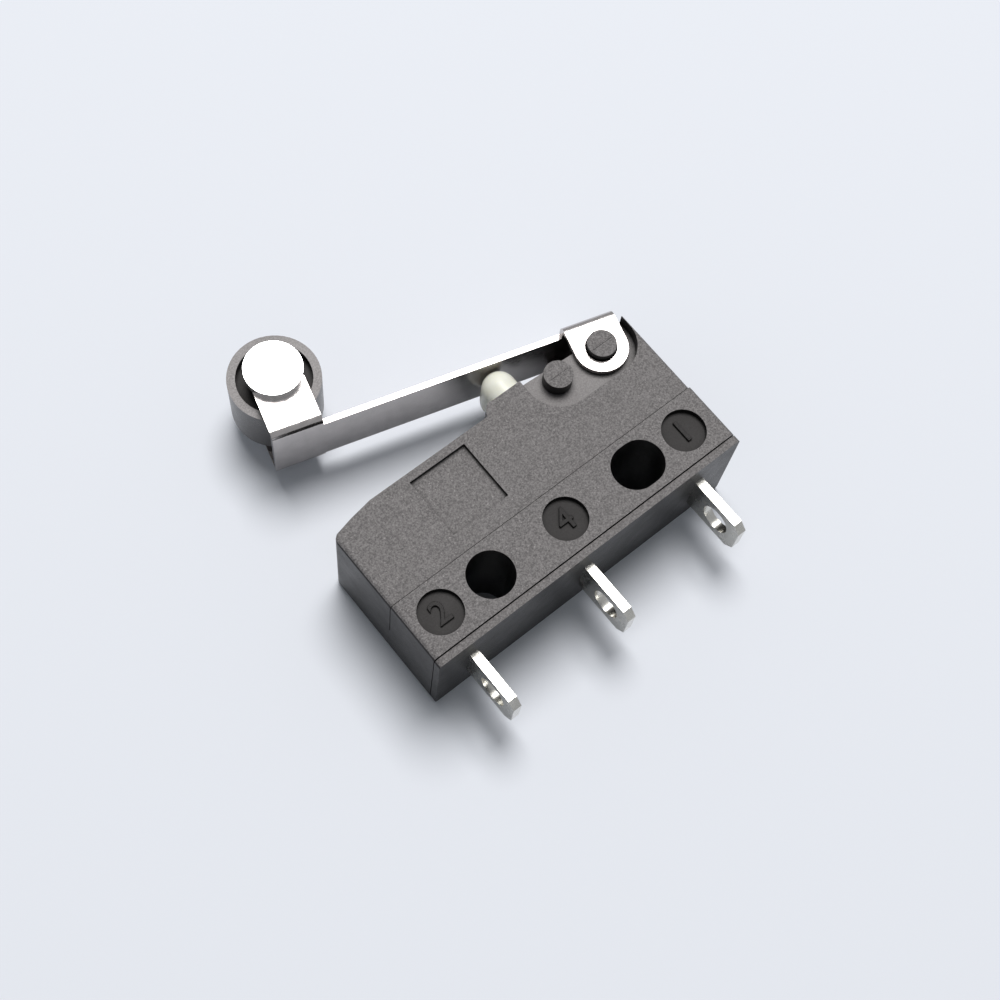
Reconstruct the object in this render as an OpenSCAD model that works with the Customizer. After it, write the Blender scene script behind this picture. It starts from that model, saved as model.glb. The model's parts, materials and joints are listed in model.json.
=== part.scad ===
// Sub-miniature snap-action switch with a roller lever, lying on its back.
// The origin is on the axis of the round fixing hole, at the back face.
// +X runs along the case towards the lever's pivot, +Y from the terminals
// towards the plunger, and +Z out of the front cover. Sizes are in millimetres.

/* [Case] */
// Length of the case along X
body_length = 19.45; // [19.0:0.05:20.4]
// Thickness of the case, back face to front face
body_thickness = 6.4; // [6.0:0.1:7.0]
// Height of the fixing block, from the base to the step under the cover
block_height = 3.78; // [3.6:0.02:4.0]
// Height of the case over its plain left part
shoulder_height = 8.8; // [8.6:0.05:9.1]
// Height of the raised crown that holds the plunger and the pivot
crown_height = 9.35; // [9.2:0.05:9.6]
// Drop of the crown from the plunger to the right-hand end
crown_fall = 0.3; // [0.1:0.05:0.35]
// Distance from the left end to the start of the crown
crown_start = 10.05; // [9.6:0.05:10.4]
// Drop of the shoulder at the left-hand corner
shoulder_fall = 0.55; // [0.3:0.05:0.7]
// Length of the falling part of the shoulder
shoulder_run = 2.6; // [1.5:0.1:3.5]
// Radius of the long edges at the two ends of the case
edge_r = 0.25; // [0.1:0.05:0.4]
// Thickness of the plate that closes the terminal side
base_height = 0.45; // [0.4:0.05:0.6]
// Height of the joint between case and cover above the back face
split_level = 2.7; // [2.5:0.1:3.0]
// How far the cover's face lies below the face of the fixing block
cover_step = 0.1; // [0.05:0.05:0.2]
// Width of the open seams at the foot of the cover and over the base plate
seam = 0.05; // [0.03:0.01:0.08]
// How far the base plate's raised middle lies inside its rim
plate_lip = 0.6; // [0.4:0.1:0.8]
// How far the cover's right-hand end lies inside the block's
end_step = 0.05; // [0.05:0.05:0.1]

/* [Chamber] */
// Wall between the chamber and the left-hand end
wall_left = 1.6; // [1.4:0.05:1.65]
// Wall between the chamber and the right-hand end
wall_right = 1.75; // [1.5:0.05:1.8]
// Wall over the chamber at the shoulder
wall_top = 0.7; // [0.6:0.05:0.8]
// Wall between the chamber and the back face, and the same in front
wall_side = 1.5; // [1.4:0.05:1.55]
// Diameter of the pegs that locate the cover on the case
peg_d = 0.7; // [0.5:0.05:0.8]
// Depth of the pegs in the case
peg_depth = 0.9; // [0.6:0.1:1.2]
// Gap around and under each peg
peg_gap = 0.03; // [0.02:0.01:0.06]

/* [Fixing holes] */
// Distance between the two fixing holes
hole_pitch = 9.5; // [9.4:0.05:9.6]
// Diameter of the round hole, and width of the long one
hole_d = 2.5; // [2.2:0.05:2.6]
// Extra length of the long hole
slot_extra = 0.4; // [0.2:0.05:0.5]
// Distance from the left end to the round hole
hole_inset = 4.85; // [4.7:0.05:5.1]
// Distance from the base to the hole centres
hole_height = 2.13; // [2.05:0.01:2.2]

/* [Front marks] */
// Diameter of the round sunk fields that mark the terminals
mark_d = 2.35; // [2.0:0.05:2.4]
// Depth of the round fields
mark_depth = 0.3; // [0.2:0.05:0.4]
// Distance of the outer fields from the fixing holes
mark_offset = 3.1; // [3.0:0.05:3.2]
// Width of the shallow blank panel on the cover
panel_w = 3.45; // [3.0:0.05:3.6]
// Height of the shallow blank panel
panel_h = 3.5; // [3.0:0.05:3.6]
// Depth of the shallow blank panel
panel_depth = 0.25; // [0.1:0.05:0.35]
// Distance from the left end to the panel
panel_inset = 4.72; // [4.4:0.05:5.0]
// Margin between the panel and the top of the shoulder
panel_margin = 0.45; // [0.35:0.05:0.6]

/* [Lever seat] */
// Distance from the right-hand end to the lever's pivot
pivot_inset = 2.05; // [2.05:0.05:2.2]
// Height of the pivot above the base
pivot_height = 8.45; // [8.4:0.05:8.5]
// Distance between the pivot boss and the spare boss
boss_pitch = 2.95; // [2.8:0.05:3.1]
// Diameter of the bosses
boss_d = 1.56; // [1.4:0.02:1.6]
// Radius of the seat's round corners about each boss
seat_r = 1.85; // [1.75:0.05:1.9]
// Gap between an ear of the lever and the floor of its seat
seat_gap = 0.1; // [0.06:0.02:0.14]
// Radial gap of the lever's holes on the bosses
pin_gap = 0.08; // [0.04:0.01:0.1]

/* [Lever] */
// Thickness of the lever's sheet
sheet = 0.3; // [0.24:0.02:0.34]
// Width over the two pivot ears
yoke_w = 5.4; // [5.2:0.1:5.6]
// Radius of the ears about the pivot
ear_r = 1.44; // [1.3:0.02:1.44]
// Gap between the crown and the sheet above the pivot
web_gap = 0.68; // [0.6:0.02:0.8]
// Width of the arm
arm_w = 3.5; // [3.2:0.1:3.8]
// Outside radius of the bends
bend_r = 0.45; // [0.4:0.05:0.5]
// Angle of the free lever above the line of the case
rest_angle = 15.6; // [14:0.1:17]
// Distance along the arm from the pivot to the roller's axle
roller_reach = 16.13; // [15:0.01:18]
// Gap between the arm and the rim of the roller
rim_gap = 0.7; // [0.5:0.05:1.0]
// Width over the two ears that hold the roller
fork_w = 4.5; // [4.3:0.1:4.8]
// Length of those ears along the arm
fork_l = 2.76; // [2.6:0.02:3.0]

/* [Roller] */
// Outside diameter of the roller
roller_d = 4.9; // [4.6:0.1:5.2]
// Width of the roller's rim
roller_w = 3.2; // [3.0:0.1:3.4]
// Diameter of the roller's sunk faces
dish_d = 4.0; // [3.6:0.1:4.1]
// Depth of the sunk faces
dish_depth = 0.5; // [0.3:0.1:0.7]
// Diameter of the hub
hub_d = 2.3; // [2.0:0.1:2.6]
// Diameter of the rivet's shank
rivet_d = 1.4; // [1.2:0.05:1.5]
// Diameter of the rivet's heads
head_d = 3.08; // [2.8:0.02:3.2]
// Height of the rivet's heads
head_h = 0.5; // [0.3:0.05:0.6]
// Radial gap of the roller on its rivet
spin_gap = 0.05; // [0.03:0.01:0.08]
// Gap between each end of the hub and its ear
float_gap = 0.06; // [0.04:0.01:0.1]

/* [Plunger] */
// Width of the plunger's round-topped stem
stem_d = 1.9; // [1.7:0.05:2.1]
// How much longer than wide the stem is, across the lever
stem_extra = 1.3; // [1.0:0.1:1.4]
// Distance from the left end to the plunger's axis
plunger_inset = 12.38; // [12.2:0.02:12.5]
// How far the collar that keeps the plunger in stands out to each side
collar_grip = 0.35; // [0.2:0.05:0.4]
// Height of the collar
collar_h = 0.5; // [0.4:0.05:0.6]
// Diameter of the foot that presses the actuating arm
foot_d = 0.9; // [0.7:0.05:1.0]
// How far the foot reaches below the collar
foot_reach = 0.4; // [0.3:0.05:0.45]
// Gap between the foot and the actuating arm at rest
foot_gap = 0.05; // [0.03:0.01:0.08]
// Gap around the stem, and under the lever at rest
guide_gap = 0.06; // [0.04:0.01:0.1]

/* [Terminals] */
// Thickness of the terminals
blade_t = 0.5; // [0.4:0.05:0.6]
// Width of the terminals
blade_w = 2.6; // [2.4:0.05:2.8]
// Length of the terminals below the base
blade_l = 3.45; // [3.0:0.05:3.9]
// Diameter of the wire holes
eye_d = 1.7; // [1.5:0.05:1.8]
// Distance from the base to the wire holes
eye_drop = 1.9; // [1.7:0.05:2.1]
// Size of the cut corners at the tips
tip_cut = 0.45; // [0.2:0.05:0.6]
// Distance from the left end to the normally closed terminal
nc_inset = 2.18; // [2.15:0.01:2.3]
// Distance from the left end to the normally open terminal
no_inset = 9.55; // [9.3:0.05:9.8]
// Distance from the right-hand end to the common terminal
com_inset = 2.4; // [2.3:0.05:2.5]
// Thickness of the contact arms of the fixed terminals
branch_t = 0.4; // [0.3:0.05:0.5]

/* [Contacts] */
// Diameter of the contact buttons
contact_d = 1.6; // [1.3:0.05:1.8]
// Height of the fixed buttons
contact_h = 0.35; // [0.25:0.05:0.4]
// Diameter of the rivet shanks of the buttons
shank_d = 0.8; // [0.6:0.05:0.9]
// Distance from the left end to the contacts
contact_inset = 3.7; // [3.6:0.05:3.9]
// Open gap between the moving and the normally open contact
contact_gap = 0.55; // [0.4:0.05:0.6]
// Height of the closed contact face above the base
closed_height = 6.55; // [6.4:0.05:6.7]
// Thickness of the spring blade and the actuating arm
leaf_t = 0.2; // [0.15:0.01:0.25]
// Height of the blade's pivot edge on the common terminal
blade_pivot = 5.5; // [5.4:0.05:5.6]
// Height of the actuating arm's pivot edge
arm_pivot = 6.75; // [6.7:0.05:6.8]
// Length of the actuating arm
arm_l = 7.1; // [6.9:0.1:7.3]
// Width of the actuating arm
actuator_w = 1.1; // [0.9:0.05:1.2]
// Width of the window in the blade
window_w = 1.6; // [1.5:0.05:1.7]
// Solid length of the blade beside the moving contact
blade_hook = 0.9; // [0.7:0.05:1.0]
// Solid length of the blade and of the arm at their pivot edges
blade_root = 0.9; // [0.7:0.05:1.2]
// How much lower than the fixed buttons the moving ones stand
button_cut = 0.08; // [0.04:0.02:0.1]
// Width and depth of the notches for the pivot edges
notch_w = 0.2; // [0.12:0.02:0.24]
// Height of the common terminal over the arm's pivot edge
com_over = 0.6; // [0.4:0.05:0.8]
// Gap at the pivot edges and between touching contacts
touch_gap = 0.02; // [0.01:0.01:0.04]

/* [Tension spring] */
// Outside diameter of the coil
coil_d = 1.0; // [0.8:0.05:1.1]
// Diameter of the spring wire
wire_d = 0.2; // [0.16:0.02:0.24]
// Length of the straight tails at the coil's ends
tail_l = 0.7; // [0.5:0.05:0.9]
// Gap between each tail and the part it hooks on
hook_gap = 0.15; // [0.12:0.01:0.2]

/* [Hidden] */
$fn = 64;
eps = 0.01;
mid = body_thickness / 2;
cover_face = body_thickness - cover_step;
block_end = body_length - end_step;
cover_end = block_end - end_step;
corner_y = shoulder_height - shoulder_fall;
crown_end_y = crown_height - crown_fall;

// chamber
room_left = wall_left;
room_right = body_length - wall_right;
room_top = shoulder_height - wall_top;
room_back = wall_side;
room_front = body_thickness - wall_side;

// lever seat: the seat's floor, front and back, follows the lever's ears
pivot_x = body_length - pivot_inset;
spare_x = pivot_x - boss_pitch;
ear_in = yoke_w / 2 - sheet;
seat_front = mid + ear_in - seat_gap;
seat_back = mid - ear_in + seat_gap;
ear_hole_d = boss_d + 2 * pin_gap;

// lever, in its own plane: s along the arm, h square to it, from the pivot
web_rise = crown_height - pivot_height + web_gap + sheet;
web_in = web_rise - sheet;
roller_rise = web_rise + rim_gap + roller_d / 2;
fork_s0 = roller_reach - fork_l / 2;
fork_s1 = roller_reach + fork_l / 2;

// plunger: its dome just meets the sheet at rest
plunger_x = plunger_inset;
dome_r = stem_d / 2;
dome_y = pivot_height + ((web_in - dome_r - guide_gap)
         + (pivot_x - plunger_x) * sin(rest_angle)) / cos(rest_angle);

// terminals
nc_x = nc_inset;
no_x = no_inset;
com_x = body_length - com_inset;
contact_x = contact_inset;
nc_branch_y = closed_height + contact_h;

// moving contact, blade and arm: both turn on edges of the common terminal
edge_x = com_x - blade_t / 2 - touch_gap;
button_h = contact_h - button_cut;
blade_mid_y = closed_height - touch_gap - button_h - leaf_t / 2;
blade_l_in = edge_x - contact_x;
blade_tilt = atan((blade_mid_y - blade_pivot) / blade_l_in);
no_top_y = blade_mid_y - leaf_t / 2 - button_h - contact_gap;
no_branch_y = no_top_y - contact_h - branch_t;
collar_top = room_top - touch_gap;
foot_y = collar_top - collar_h - foot_reach;
arm_tilt = atan((foot_y - foot_gap - leaf_t - arm_pivot) / (edge_x - plunger_x));
arm_tip_x = edge_x - arm_l * cos(arm_tilt);
arm_tip_y = arm_pivot + arm_l * sin(arm_tilt) + leaf_t / 2;

// tension spring: from the blade's hook bar to the tip of the arm
window_left = contact_x + contact_d / 2 + blade_hook;
window_right = edge_x - blade_root;
hook_x = window_left;
hook_y = blade_pivot + (edge_x - hook_x) * tan(blade_tilt);
spring_dx = arm_tip_x - hook_x;
spring_dy = arm_tip_y - hook_y;
spring_l = sqrt(spring_dx * spring_dx + spring_dy * spring_dy) - 2 * hook_gap;
spring_tilt = atan(spring_dy / spring_dx);
coil_l = spring_l - 2 * tail_l;
coil_turns = floor(coil_l / wire_d);

black = [0.16, 0.15, 0.15];
ivory = [0.90, 0.89, 0.80];
nickel = [0.80, 0.80, 0.77];
brass = [0.78, 0.68, 0.42];
silver = [0.88, 0.88, 0.86];
bronze = [0.72, 0.56, 0.36];

// Moves a shape from the case's corner to the frame of the fixing hole.
module from_corner() {
    translate([-hole_inset, -hole_height, 0]) children();
}

// Round outline of the case as seen from the front.
module case_outline(right) {
    rise = crown_height - shoulder_height;
    polygon([
        [0, 0], [right, 0], [right, crown_end_y], [right - seat_r, crown_end_y + 0.04],
        [plunger_x, crown_height], [crown_start + 0.4, crown_height],
        [crown_start + 0.15, shoulder_height + rise * 0.6],
        [crown_start, shoulder_height], [shoulder_run, shoulder_height],
        [shoulder_run * 0.5, corner_y + shoulder_fall * 0.62],
        [edge_r, corner_y + 0.1], [edge_r * 0.3, corner_y - edge_r * 0.15],
        [0, corner_y - edge_r]
    ]);
}

// Section of the case along its length, with its long end edges rounded.
module rounded_section(right, face) {
    r = edge_r;
    difference() {
        square([right, face]);
        for (corner = [[0, 0, 0], [right, 0, 90], [right, face, 180], [0, face, 270]])
            translate([corner[0], corner[1]]) rotate(corner[2]) difference() {
                translate([-eps, -eps]) square(r + eps);
                translate([r, r]) circle(r);
            }
    }
}

// A slab of the case between two levels, cut from the outline and the section.
module case_slab(right, face, low, high, bottom, top) {
    intersection() {
        translate([0, 0, low]) linear_extrude(high - low) case_outline(right);
        translate([0, top, 0]) rotate([90, 0, 0]) linear_extrude(top - bottom)
            rounded_section(right, face);
    }
}

// Chamber for the snap mechanism.
module chamber() {
    translate([room_left, block_height, room_back])
        cube([room_right - room_left, room_top - block_height, room_front - room_back]);
}

// Guide for the plunger's stem through the crown.
module plunger_guide() {
    translate([plunger_x, room_top - eps, mid])
        stem(crown_height, stem_d / 2 + guide_gap);
}

// Bar with round long ends standing along +Y: the plunger's stem, or its guide.
module stem(height, r) {
    rotate([-90, 0, 0]) linear_extrude(height) {
        for (side = [-0.5, 0.5])
            translate([0, side * stem_extra]) circle(r);
        translate([-r, -stem_extra / 2]) square([2 * r, stem_extra]);
    }
}

// Sunk seat of one pivot ear, open at the top, between two levels.
module lever_seat(low, high) {
    translate([0, 0, low]) linear_extrude(high - low) {
        translate([pivot_x, pivot_height]) circle(seat_r);
        translate([spare_x, pivot_height]) circle(seat_r);
        translate([spare_x, pivot_height - seat_r]) square([boss_pitch, seat_r]);
        translate([spare_x - seat_r, pivot_height])
            square([boss_pitch + 2 * seat_r, crown_height]);
    }
}

// The pivot boss and the spare boss on one side of the case.
module bosses(low, high) {
    for (x = [pivot_x, spare_x])
        translate([x, pivot_height, low]) cylinder(h = high - low, d = boss_d);
}

// The two fixing holes, round on the left and long on the right.
module fixing_holes() {
    for (side = [0, 1])
        translate([hole_inset + side * hole_pitch, hole_height, -eps])
            linear_extrude(body_thickness + 2 * eps) {
                for (shift = [-0.5, 0.5] * slot_extra * side)
                    translate([shift, 0]) circle(d = hole_d);
                if (side == 1)
                    square([slot_extra, hole_d], center = true);
            }
}

// Places of the three round fields along the block.
function mark_places() = [
    hole_inset - mark_offset,
    hole_inset + hole_pitch / 2,
    hole_inset + hole_pitch + mark_offset
];

// Pegs that locate the cover, or their sockets when grown by a gap.
module pegs(gap) {
    for (place = [[wall_left / 2, (block_height + corner_y) / 2],
                  [body_length - wall_right / 2, (block_height + pivot_height - seat_r) / 2]])
        translate([place[0], place[1], split_level - peg_depth - gap])
            cylinder(h = peg_depth + gap, d = peg_d + 2 * gap);
}

// Straight part of a terminal, from its tip up to a given height.
module terminal_blade(x, top) {
    difference() {
        translate([x - blade_t / 2, 0, 0]) rotate([0, 90, 0]) linear_extrude(blade_t)
            polygon([
                [-mid - blade_w / 2, top], [-mid + blade_w / 2, top],
                [-mid + blade_w / 2, -blade_l + tip_cut],
                [-mid + blade_w / 2 - tip_cut, -blade_l],
                [-mid - blade_w / 2 + tip_cut, -blade_l],
                [-mid - blade_w / 2, -blade_l + tip_cut]
            ]);
        translate([x - blade_t, -eye_drop, mid]) rotate([0, 90, 0])
            cylinder(h = 2 * blade_t, d = eye_d);
    }
}

// Flat branch of a fixed terminal that carries a contact.
module branch(x0, x1, y) {
    difference() {
        translate([x0, y, mid - blade_w / 2]) cube([x1 - x0, branch_t, blade_w]);
        translate([contact_x, y - eps, mid]) rotate([-90, 0, 0])
            cylinder(h = branch_t + 2 * eps, d = shank_d);
    }
}

// Contact button of a given height with its shank, standing along +Y.
module button(height, shank) {
    rotate([-90, 0, 0]) {
        cylinder(h = height, d = contact_d);
        translate([0, 0, -shank]) cylinder(h = shank, d = shank_d);
    }
}

// Slots that the terminals are moulded into.
module terminal_slots() {
    for (x = [nc_x, no_x, com_x])
        translate([x - blade_t / 2, -eps, mid - blade_w / 2])
            cube([blade_t, block_height + 2 * eps, blade_w]);
}

module case_body() color(black) from_corner() {
    difference() {
        union() {
            case_slab(block_end, body_thickness, 0, body_thickness, base_height, block_height);
            case_slab(cover_end, body_thickness, 0, split_level, block_height, crown_height);
        }
        chamber();
        plunger_guide();
        fixing_holes();
        terminal_slots();
        pegs(peg_gap);
        lever_seat(-eps, seat_back);
        for (x = mark_places())
            translate([x, hole_height, body_thickness - mark_depth])
                cylinder(h = mark_depth + eps, d = mark_d);
    }
    bosses(cover_step, seat_back);
}

module front_cover() color(black) from_corner() {
    difference() {
        case_slab(cover_end, cover_face, split_level, cover_face,
                  block_height + seam, crown_height);
        chamber();
        plunger_guide();
        lever_seat(seat_front, cover_face + eps);
        translate([panel_inset, shoulder_height - panel_margin - panel_h,
                   cover_face - panel_depth])
            cube([panel_w, panel_h, panel_depth + eps]);
    }
    bosses(seat_front, cover_face);
    pegs(0);
}

module base_plate() color(black) from_corner() {
    difference() {
        union() {
            case_slab(body_length, cover_face, 0, cover_face, 0, base_height - seam);
            translate([plate_lip, 0, plate_lip])
                cube([body_length - 2 * plate_lip, base_height, cover_face - 2 * plate_lip]);
        }
        terminal_slots();
    }
}

module com_terminal() color(nickel) from_corner() {
    difference() {
        terminal_blade(com_x, arm_pivot + com_over);
        for (y = [blade_pivot, arm_pivot])
            translate([com_x - blade_t / 2, y, mid - blade_w / 2 - eps])
                rotate([0, 0, 45]) cube([notch_w * sin(45), notch_w * sin(45), blade_w + 2 * eps]);
    }
}

module no_terminal() color(nickel) from_corner() {
    terminal_blade(no_x, no_branch_y + branch_t);
    branch(contact_x - contact_d / 2, no_x - blade_t / 2, no_branch_y);
}

module nc_terminal() color(nickel) from_corner() {
    terminal_blade(nc_x, nc_branch_y + branch_t);
    branch(nc_x + blade_t / 2, contact_x + contact_d / 2, nc_branch_y);
}

module no_contact() color(silver) from_corner()
    translate([contact_x, no_top_y - contact_h, mid]) button(contact_h, branch_t);

module nc_contact() color(silver) from_corner()
    translate([contact_x, nc_branch_y, mid]) mirror([0, 1, 0]) button(contact_h, branch_t);

// Places a shape at the blade's pivot edge, with its own X along the blade.
module on_blade() {
    translate([edge_x, blade_pivot, mid]) rotate([0, 0, -blade_tilt]) mirror([1, 0, 0]) children();
}

module contact_blade() color(bronze) from_corner() on_blade() {
    reach = blade_l_in / cos(blade_tilt);
    window_far = (edge_x - window_left) / cos(blade_tilt);
    window_near = (edge_x - window_right) / cos(blade_tilt);
    rotate([-90, 0, 0]) translate([0, 0, -leaf_t / 2]) linear_extrude(leaf_t) difference() {
        translate([0, -blade_w / 2]) square([reach + contact_d * 0.45, blade_w]);
        translate([window_near, -window_w / 2]) square([window_far - window_near, window_w]);
        translate([reach, 0]) circle(d = shank_d);
    }
}

module moving_contact() color(silver) from_corner() on_blade()
    translate([blade_l_in / cos(blade_tilt), 0, 0]) {
        translate([0, leaf_t / 2, 0]) button(button_h, leaf_t);
        translate([0, -leaf_t / 2, 0]) mirror([0, 1, 0]) rotate([-90, 0, 0])
            cylinder(h = button_h, d = contact_d);
    }

module actuating_arm() color(bronze) from_corner()
    translate([edge_x, arm_pivot, mid]) rotate([0, 0, -arm_tilt]) mirror([1, 0, 0]) {
        translate([0, 0, -actuator_w / 2]) cube([arm_l, leaf_t, actuator_w]);
        translate([0, 0, -blade_w / 2]) cube([blade_root, leaf_t, blade_w]);
    }

// Close-wound coil drawn as touching rings, with a straight tail at each end.
module tension_spring() color(silver) from_corner()
    translate([hook_x, hook_y, mid]) rotate([0, 0, spring_tilt]) rotate([0, 90, 0])
        translate([0, 0, hook_gap]) {
            ring_r = (coil_d - wire_d) / 2;
            pitch = coil_l / coil_turns;
            rotate_extrude() {
                for (turn = [0 : coil_turns - 1])
                    translate([ring_r, tail_l + (turn + 0.5) * pitch]) circle(d = wire_d, $fn = 24);
                translate([ring_r - wire_d / 4, tail_l + pitch / 2])
                    square([wire_d / 2, coil_l - pitch]);
            }
            for (end = [0, spring_l - tail_l])
                translate([0, 0, end]) cylinder(h = tail_l, d = wire_d);
            for (end = [tail_l, spring_l - tail_l - wire_d])
                translate([-ring_r, -wire_d / 2, end]) cube([2 * ring_r, wire_d, wire_d]);
        }

module plunger() color(ivory) from_corner() translate([plunger_x, 0, mid]) {
    // stem with its round top
    translate([0, collar_top - collar_h, 0]) stem(dome_y - collar_top + collar_h, dome_r);
    translate([0, dome_y, -stem_extra / 2]) cylinder(h = stem_extra, r = dome_r);
    for (side = [-0.5, 0.5])
        translate([0, dome_y, side * stem_extra]) sphere(dome_r);
    // collar and foot
    collar_w = stem_d + 2 * collar_grip;
    collar_l = stem_d + stem_extra;
    translate([-collar_w / 2, collar_top - collar_h, -collar_l / 2])
        cube([collar_w, collar_h, collar_l]);
    translate([0, foot_y + foot_d / 2, 0]) {
        rotate([-90, 0, 0]) cylinder(h = collar_top - foot_y - foot_d / 2, d = foot_d);
        sphere(d = foot_d);
    }
}

// Places a shape at the lever's pivot, with its own X along the arm.
module on_lever() {
    translate([pivot_x, pivot_height, mid]) rotate([0, 0, -rest_angle])
        mirror([1, 0, 0]) children();
}

// Channel of bent sheet along X: outer width w, sides of a given height below
// the outer face, which is at y = 0.
module channel(w, height, length) {
    module section(half, r, top) {
        translate([-half, -height]) square([2 * half, height + top - r]);
        translate([-half + r, -height]) square([2 * (half - r), height + top]);
        for (side = [-1, 1])
            translate([side * (half - r), top - r]) circle(r);
    }
    rotate([0, 90, 0]) linear_extrude(length) difference() {
        section(w / 2, bend_r, 0);
        section(w / 2 - sheet, bend_r - sheet, -sheet);
    }
}

module lever() color(nickel) from_corner() on_lever() {
    // yoke with the two ears on the pivot bosses
    difference() {
        intersection() {
            translate([-ear_r, web_rise, 0]) channel(yoke_w, web_rise + ear_r, 2 * ear_r);
            translate([0, 0, -yoke_w]) linear_extrude(2 * yoke_w) {
                circle(ear_r);
                translate([-ear_r, 0]) square([2 * ear_r, web_rise]);
            }
        }
        translate([0, 0, -yoke_w]) cylinder(h = 2 * yoke_w, d = ear_hole_d);
    }
    // arm
    translate([ear_r, web_in, -arm_w / 2]) cube([fork_s0 - ear_r, sheet, arm_w]);
    // fork with the two ears that hold the roller
    fork_h = roller_rise - web_in + fork_l / 2;
    difference() {
        intersection() {
            translate([fork_s0, web_in, 0]) mirror([0, 1, 0]) channel(fork_w, fork_h, fork_l);
            translate([roller_reach, 0, -fork_w]) linear_extrude(2 * fork_w) {
                translate([0, roller_rise]) circle(d = fork_l);
                translate([-fork_l / 2, web_in]) square([fork_l, roller_rise - web_in]);
            }
        }
        translate([roller_reach, roller_rise, -fork_w]) cylinder(h = 2 * fork_w, d = rivet_d);
    }
}

module roller() color(black) from_corner() on_lever()
    translate([roller_reach, roller_rise, 0]) difference() {
        hub_w = fork_w - 2 * sheet - 2 * float_gap;
        union() {
            cylinder(h = roller_w, d = roller_d, center = true);
            cylinder(h = hub_w, d = hub_d, center = true);
        }
        for (side = [0, 1]) mirror([0, 0, side])
            translate([0, 0, roller_w / 2 - dish_depth]) difference() {
                cylinder(h = dish_depth + eps, d = dish_d);
                translate([0, 0, -eps]) cylinder(h = dish_depth + 3 * eps, d = hub_d);
            }
        cylinder(h = fork_w, d = rivet_d + 2 * spin_gap, center = true);
    }

module roller_rivet() color(silver) from_corner() on_lever()
    translate([roller_reach, roller_rise, 0]) {
        cylinder(h = fork_w + head_h, d = rivet_d, center = true);
        for (side = [0, 1]) mirror([0, 0, side])
            translate([0, 0, fork_w / 2]) cylinder(h = head_h, d = head_d);
    }

case_body();
front_cover();
base_plate();
com_terminal();
no_terminal();
nc_terminal();
no_contact();
nc_contact();
contact_blade();
moving_contact();
actuating_arm();
tension_spring();
plunger();
lever();
roller();
roller_rivet();
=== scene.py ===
"""Looks for the roller-lever snap switch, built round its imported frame. Metres throughout."""

import json
import math

import bpy
from mathutils import Matrix, Vector


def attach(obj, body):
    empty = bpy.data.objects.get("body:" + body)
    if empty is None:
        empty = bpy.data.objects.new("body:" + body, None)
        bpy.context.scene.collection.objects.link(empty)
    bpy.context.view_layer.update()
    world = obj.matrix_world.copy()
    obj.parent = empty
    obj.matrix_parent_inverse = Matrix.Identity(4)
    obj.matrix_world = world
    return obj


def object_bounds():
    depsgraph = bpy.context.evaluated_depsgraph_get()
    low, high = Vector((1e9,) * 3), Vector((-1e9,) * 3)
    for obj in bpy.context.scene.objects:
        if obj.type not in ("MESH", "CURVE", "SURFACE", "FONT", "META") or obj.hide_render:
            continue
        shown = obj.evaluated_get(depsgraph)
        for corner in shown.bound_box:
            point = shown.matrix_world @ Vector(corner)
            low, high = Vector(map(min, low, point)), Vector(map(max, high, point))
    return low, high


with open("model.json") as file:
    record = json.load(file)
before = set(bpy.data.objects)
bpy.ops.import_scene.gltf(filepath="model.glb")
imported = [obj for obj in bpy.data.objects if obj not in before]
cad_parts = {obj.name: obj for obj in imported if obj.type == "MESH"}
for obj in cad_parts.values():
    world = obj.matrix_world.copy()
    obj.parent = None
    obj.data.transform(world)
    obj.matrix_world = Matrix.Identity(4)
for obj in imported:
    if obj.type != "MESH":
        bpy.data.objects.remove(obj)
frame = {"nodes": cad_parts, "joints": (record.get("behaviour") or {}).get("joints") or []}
cad_low, cad_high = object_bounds()

MM = 0.001
NODES = frame["nodes"]
JOINTS = {joint["name"]: joint for joint in frame["joints"]}


# ---------------------------------------------------------------- camera

LENS = 57.86
CAMERA_AT = Vector((-20.12, -17.02, 79.54)) * MM
LOOK = Vector((0.28565, 0.24460, -0.92659))
IMAGE_UP = Vector((0.56686, 0.73647, 0.36916))


def make_camera():
    data = bpy.data.cameras.new("camera")
    data.lens = LENS
    data.sensor_width = 36
    data.shift_y = 0.0111
    data.clip_start = 0.001
    data.clip_end = 10
    camera = bpy.data.objects.new("camera", data)
    bpy.context.scene.collection.objects.link(camera)
    right = LOOK.cross(IMAGE_UP).normalized()
    up = right.cross(LOOK).normalized()
    turn = Matrix((right, up, -LOOK.normalized())).transposed()
    camera.matrix_world = Matrix.Translation(CAMERA_AT) @ turn.to_4x4()
    bpy.context.scene.camera = camera


# ---------------------------------------------------------------- shader helpers

def new_material(name):
    material = bpy.data.materials.new(name)
    material.use_nodes = True
    tree = material.node_tree
    tree.nodes.clear()
    out = tree.nodes.new("ShaderNodeOutputMaterial")
    shader = tree.nodes.new("ShaderNodeBsdfPrincipled")
    tree.links.new(shader.outputs[0], out.inputs[0])
    return material, tree, shader


def node(tree, kind, **values):
    made = tree.nodes.new(kind)
    for key, value in values.items():
        if hasattr(made, key):
            setattr(made, key, value)
        else:
            made.inputs[key.replace("_", " ")].default_value = value
    return made


def coordinates(tree):
    return node(tree, "ShaderNodeTexCoord").outputs["Object"]


def noise(tree, scale, detail=3, roughness=0.6, stretch=(1, 1, 1)):
    mapping = node(tree, "ShaderNodeMapping")
    mapping.inputs["Scale"].default_value = stretch
    tree.links.new(coordinates(tree), mapping.inputs["Vector"])
    made = node(tree, "ShaderNodeTexNoise", Scale=scale, Detail=detail, Roughness=roughness)
    tree.links.new(mapping.outputs[0], made.inputs["Vector"])
    return made.outputs[0]


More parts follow.
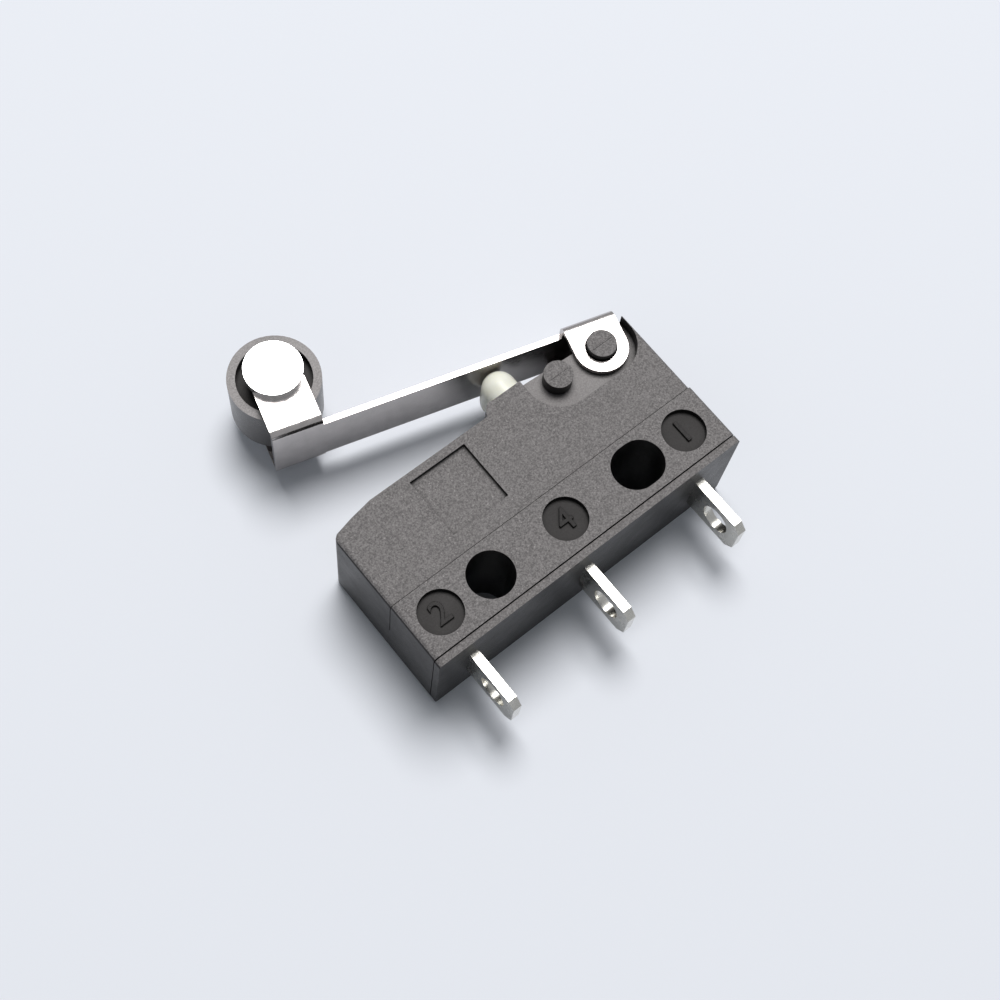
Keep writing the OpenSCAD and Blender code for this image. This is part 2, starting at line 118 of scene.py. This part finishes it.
def ramp(tree, source, stops):
    made = tree.nodes.new("ShaderNodeValToRGB")
    elements = made.color_ramp.elements
    while len(elements) < len(stops):
        elements.new(0.5)
    for element, (place, colour) in zip(elements, stops):
        element.position = place
        element.color = (*colour, 1)
    tree.links.new(source, made.inputs[0])
    return made.outputs[0]


def grey(value):
    return (value, value, value)


def bump(tree, height, strength, distance, under=None):
    made = node(tree, "ShaderNodeBump", Strength=strength, Distance=distance)
    tree.links.new(height, made.inputs["Height"])
    if under is not None:
        tree.links.new(under, made.inputs["Normal"])
    return made.outputs[0]


# ---------------------------------------------------------------- materials

def painted_crease_shade(tree, reach, darkest):
    """A painted-shade factor that falls from 1 on open faces to a dark value in seams and corners."""
    occlusion = node(tree, "ShaderNodeAmbientOcclusion", samples=6, Distance=reach)
    return ramp(tree, occlusion.outputs["AO"], [(0.35, grey(darkest)), (0.80, grey(1.0))])


def multiply(tree, first, second):
    mixed = node(tree, "ShaderNodeMix", data_type="RGBA", blend_type="MULTIPLY")
    mixed.inputs[0].default_value = 1.0
    tree.links.new(first, mixed.inputs[6])
    tree.links.new(second, mixed.inputs[7])
    return mixed.outputs[2]


def black_nylon(name, base, rough, specular, texture, tint=1.0):
    """Glass-filled nylon: a fine sparkle texture, slow cloudiness, the odd pale speck and painted shade
    in seams and corners.
    """
    material, tree, shader = new_material(name)
    grain = noise(tree, 11500, 3, 0.7)
    blotch = noise(tree, 420, 4, 0.6)
    speck = noise(tree, 13000, 1, 0.5)
    low, high = base * (1 - 0.50 * texture), base * (1 + 0.60 * texture)
    stops = [(0.38, (low, low * 0.94, low * 0.94)), (0.62, (high, high * 0.95, high * 0.95))]
    cloth = ramp(tree, grain, stops)
    pale = ramp(tree, speck, [(0.66, grey(1)), (0.74, grey(1 + texture * 0.9))])
    cloud = ramp(tree, blotch, [(0.3, grey(0.88)), (0.7, grey(1.0))])
    tone = multiply(tree, multiply(tree, cloth, pale), cloud)
    # The base colour is multiplied by painted shade that darkens seams, recesses and corners.
    tree.links.new(multiply(tree, tone, painted_crease_shade(tree, 0.45 * MM, 0.12)), shader.inputs["Base Color"])
    spread = ramp(tree, blotch, [(0.3, grey(rough - 0.05)), (0.7, grey(rough + 0.07))])
    tree.links.new(spread, shader.inputs["Roughness"])
    shader.inputs["Specular IOR Level"].default_value = specular
    shader.inputs["Specular Tint"].default_value = (tint, tint * 0.98, tint * 0.98, 1)
    coarse = bump(tree, blotch, 0.2 * texture, 0.00008)
    fine = bump(tree, grain, 0.8 * texture, 0.00005, coarse)
    tree.links.new(fine, shader.inputs["Normal"])
    return material


def ivory_plastic():
    material, tree, shader = new_material("ivory_plastic")
    cloud = noise(tree, 900, 2)
    tint = ramp(tree, cloud, [(0.3, (0.84, 0.85, 0.74)), (0.7, (0.90, 0.90, 0.81))])
    tree.links.new(tint, shader.inputs["Base Color"])
    shader.inputs["Roughness"].default_value = 0.38
    shader.inputs["Subsurface Weight"].default_value = 0.2
    shader.inputs["Subsurface Radius"].default_value = (0.001, 0.0009, 0.0006)
    shader.inputs["Subsurface Scale"].default_value = 0.4
    tree.links.new(bump(tree, cloud, 0.15, 0.00003), shader.inputs["Normal"])
    return material


def bright_metal(name, colour, rough, stretch=(1, 1, 1), scratch=0.3, scale=1500):
    """Bright strip or turned metal: faint rolling streaks in colour, gloss and height."""
    material, tree, shader = new_material(name)
    shader.inputs["Metallic"].default_value = 1.0
    streak = noise(tree, scale, 3, 0.6, stretch)
    pit = noise(tree, 7000, 2, 0.6)
    tint = ramp(tree, streak, [(0.3, tuple(c * 0.86 for c in colour)), (0.7, colour)])
    tree.links.new(tint, shader.inputs["Base Color"])
    spread = ramp(tree, streak, [(0.3, grey(rough)), (0.75, grey(rough + 0.12))])
    tree.links.new(spread, shader.inputs["Roughness"])
    rolled = bump(tree, streak, scratch, 0.00002)
    tree.links.new(bump(tree, pit, scratch * 0.6, 0.00001, rolled), shader.inputs["Normal"])
    return material


def set_material(name, *materials):
    mesh = NODES[name].data
    mesh.materials.clear()
    for material in materials:
        mesh.materials.append(material)


def finish_and_sheen_faces(name, textured_with_sheen, plain, sunk=None, sunk_level=None):
    """Front and back faces take the mould's texture and the lifted base that paints their sheen, the
    sides are plainer, a sunk level differs.
    """
    set_material(name, *[m for m in (textured_with_sheen, plain, sunk) if m])
    for face in NODES[name].data.polygons:
        upright = abs(face.normal.z) < 0.6
        face.material_index = 1 if upright else 0
        if sunk is not None and abs(face.center.z - sunk_level) < 0.02 * MM:
            face.material_index = 2


def soften(name, width, segments=2, angle=35):
    """Rounds a node's edges a little, as moulding and stamping leave them."""
    piece = NODES[name]
    bevel = piece.modifiers.new("edges", "BEVEL")
    bevel.width = width
    bevel.segments = segments
    bevel.limit_method = "ANGLE"
    bevel.angle_limit = math.radians(angle)
    bevel.use_clamp_overlap = True


# ---------------------------------------------------------------- small moulded detail

FACE_Z = cad_high.z
MARK_DEPTH = 0.3 * MM
MARK_PLACES = {"2": -3.1, "4": 4.75, "1": 12.6}
SEAT_DEPTH = 0.9 * MM
BOSS_PITCH = 2.95 * MM
BOSS_SINK = 0.1 * MM
DISH_RISE = 1.1 * MM
NUMERAL_SIZE = 1.75 * MM
NUMERAL_HALF = 0.05 * MM
NUMERAL_BEVEL = 0.025 * MM
NUMERAL_LIFT = 0.06 * MM
LINE_HALF = 0.62 * MM
LINE_WIDE = 0.025 * MM
LINE_BELOW = 0.03 * MM
LINE_ABOVE = 0.035 * MM


def add_piece(mesh, name, body, material):
    piece = bpy.data.objects.new(name, mesh)
    bpy.context.scene.collection.objects.link(piece)
    mesh.materials.clear()
    mesh.materials.append(material)
    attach(piece, body)
    return piece


def numeral(text, x, material):
    """A raised numeral on the floor of one of the round fields."""
    curve = bpy.data.curves.new("numeral_curve", "FONT")
    curve.body = text
    curve.size = NUMERAL_SIZE
    curve.align_x = "CENTER"
    curve.align_y = "CENTER"
    curve.extrude = NUMERAL_HALF
    curve.bevel_depth = NUMERAL_BEVEL
    curve.bevel_resolution = 2
    shape = bpy.data.objects.new("numeral_shape", curve)
    bpy.context.scene.collection.objects.link(shape)
    bpy.context.view_layer.update()
    mesh = bpy.data.meshes.new_from_object(shape)
    bpy.data.objects.remove(shape)
    mesh.transform(Matrix.Translation((x, 0, FACE_Z - MARK_DEPTH + NUMERAL_LIFT)))
    add_piece(mesh, "numeral_" + text, "housing", material)


def box_mesh(name, low, high):
    corners = [(x, y, z) for x in (low[0], high[0]) for y in (low[1], high[1]) for z in (low[2], high[2])]
    faces = [(0, 1, 3, 2), (4, 6, 7, 5), (0, 4, 5, 1), (2, 3, 7, 6), (0, 2, 6, 4), (1, 5, 7, 3)]
    mesh = bpy.data.meshes.new(name)
    mesh.from_pydata(corners, [], faces)
    return mesh


def boss_line(name, x, y, material):
    """The fine raised parting line across the top of a boss."""
    top = FACE_Z - BOSS_SINK
    low = (x - LINE_HALF, y - LINE_WIDE, top - LINE_BELOW)
    high = (x + LINE_HALF, y + LINE_WIDE, top + LINE_ABOVE)
    mesh = box_mesh(name, low, high)
    add_piece(mesh, name, "housing", material)


# ---------------------------------------------------------------- surroundings

FLOOR_HALF = 2.0
FLOOR_GAP = 0.00002
KEY_WAY = Vector((0.24, 0.27, 0.93))
KEY_AWAY = 0.7
KEY_SIZE = 0.40
KEY_WATTS = 4.6
MIDDLE = Vector((0.005, 0.007, 0.003))


def make_floor():
    mesh = bpy.data.meshes.new("floor")
    half, z = FLOOR_HALF, cad_low.z - FLOOR_GAP
    mesh.from_pydata([(-half, -half, z), (half, -half, z), (half, half, z), (-half, half, z)],
                     [], [(0, 1, 2, 3)])
    floor = bpy.data.objects.new("floor", mesh)
    bpy.context.scene.collection.objects.link(floor)
    material, tree, shader = new_material("paper_floor")
    shader.inputs["Base Color"].default_value = (0.79, 0.82, 0.88, 1)
    shader.inputs["Roughness"].default_value = 0.8
    shader.inputs["Specular IOR Level"].default_value = 0.1
    mesh.materials.append(material)


def make_world():
    world = bpy.data.worlds.new("world")
    bpy.context.scene.world = world
    world.use_nodes = True
    tree = world.node_tree
    tree.nodes.clear()
    out = tree.nodes.new("ShaderNodeOutputWorld")
    fill = node(tree, "ShaderNodeBackground", Strength=0.22)
    fill.inputs["Color"].default_value = (0.92, 0.96, 1.0, 1)
    seen = node(tree, "ShaderNodeBackground", Strength=0.5)
    seen.inputs["Color"].default_value = (0.95, 0.97, 1.0, 1)
    path = node(tree, "ShaderNodeLightPath")
    direct = node(tree, "ShaderNodeMath", operation="MAXIMUM")
    tree.links.new(path.outputs["Is Camera Ray"], direct.inputs[0])
    tree.links.new(path.outputs["Is Glossy Ray"], direct.inputs[1])
    either = node(tree, "ShaderNodeMath", operation="MAXIMUM")
    tree.links.new(direct.outputs[0], either.inputs[0])
    tree.links.new(path.outputs["Is Transmission Ray"], either.inputs[1])
    mix = tree.nodes.new("ShaderNodeMixShader")
    tree.links.new(either.outputs[0], mix.inputs[0])
    tree.links.new(fill.outputs[0], mix.inputs[1])
    tree.links.new(seen.outputs[0], mix.inputs[2])
    tree.links.new(mix.outputs[0], out.inputs[0])


def add_lamp(name, place, target, size, watts, colour):
    data = bpy.data.lights.new(name, "AREA")
    data.shape = "DISK"
    data.size = size
    data.energy = watts
    data.color = colour
    lamp = bpy.data.objects.new(name, data)
    bpy.context.scene.collection.objects.link(lamp)
    lamp.location = place
    lamp.rotation_euler = (Vector(target) - Vector(place)).to_track_quat("-Z", "Y").to_euler()


def make_lights():
    place = MIDDLE + KEY_WAY.normalized() * KEY_AWAY
    add_lamp("key", place, MIDDLE, KEY_SIZE, KEY_WATTS, (1.0, 0.985, 0.97))


# ---------------------------------------------------------------- scene

bpy.context.scene.view_settings.view_transform = "Standard"
make_camera()
make_floor()
make_world()
make_lights()

# The next two bases are lifted well above the nylon's true black: a painted sheen on the faces turned to
# the key.
spark_and_sheen = black_nylon("spark_nylon_painted_sheen", 0.130, 0.52, 0.6, 1.0)
smooth_and_sheen = black_nylon("smooth_nylon_painted_sheen", 0.150, 0.48, 0.6, 0.35)
plain = black_nylon("plain_nylon", 0.020, 0.38, 0.3, 0.4, 0.35)
polished = black_nylon("polished_nylon", 0.030, 0.42, 0.3, 0.25, 0.35)
finish_and_sheen_faces("case_body", spark_and_sheen, plain, polished, FACE_Z - MARK_DEPTH)
finish_and_sheen_faces("front_cover", spark_and_sheen, plain, smooth_and_sheen, FACE_Z - SEAT_DEPTH)
finish_and_sheen_faces("base_plate", spark_and_sheen, plain)
for text, place in MARK_PLACES.items():
    numeral(text, place * MM, plain)
pivot = Vector(JOINTS["lever_pivot"]["pos_m"])
boss_line("pivot_boss_line", pivot.x, pivot.y, spark_and_sheen)
boss_line("spare_boss_line", pivot.x - BOSS_PITCH, pivot.y, spark_and_sheen)

# The roller's face base is lifted to grey: a painted sheen; its sunk dish keeps the nylon's black.
ring_and_sheen = black_nylon("roller_face_painted_sheen", 0.19, 0.42, 0.6, 0.45)
dish_floor = pivot.z + DISH_RISE
rim = black_nylon("roller_rim", 0.05, 0.3, 0.5, 0.3)
finish_and_sheen_faces("roller", ring_and_sheen, rim, polished, dish_floor)
set_material("plunger", ivory_plastic())
steel = bright_metal("steel_sheet", (0.54, 0.51, 0.50), 0.14, (1, 3, 1))
rivet = bright_metal("rivet_steel", (0.80, 0.81, 0.81), 0.18)
set_material("lever", steel)
set_material("roller_rivet", rivet)
silver = bright_metal("plated_brass", (0.66, 0.65, 0.61), 0.20)
for name in ("com_terminal", "no_terminal", "nc_terminal", "no_contact", "nc_contact", "moving_contact"):
    set_material(name, silver)
bronze = bright_metal("spring_bronze", (0.72, 0.50, 0.30), 0.2)
for name in ("contact_blade", "actuating_arm", "tension_spring"):
    set_material(name, bronze)

for name in ("case_body", "front_cover", "base_plate"):
    soften(name, 0.07 * MM)
for name in ("com_terminal", "no_terminal", "nc_terminal", "lever"):
    soften(name, 0.04 * MM)
for name in ("roller", "roller_rivet"):
    soften(name, 0.09 * MM, 3)
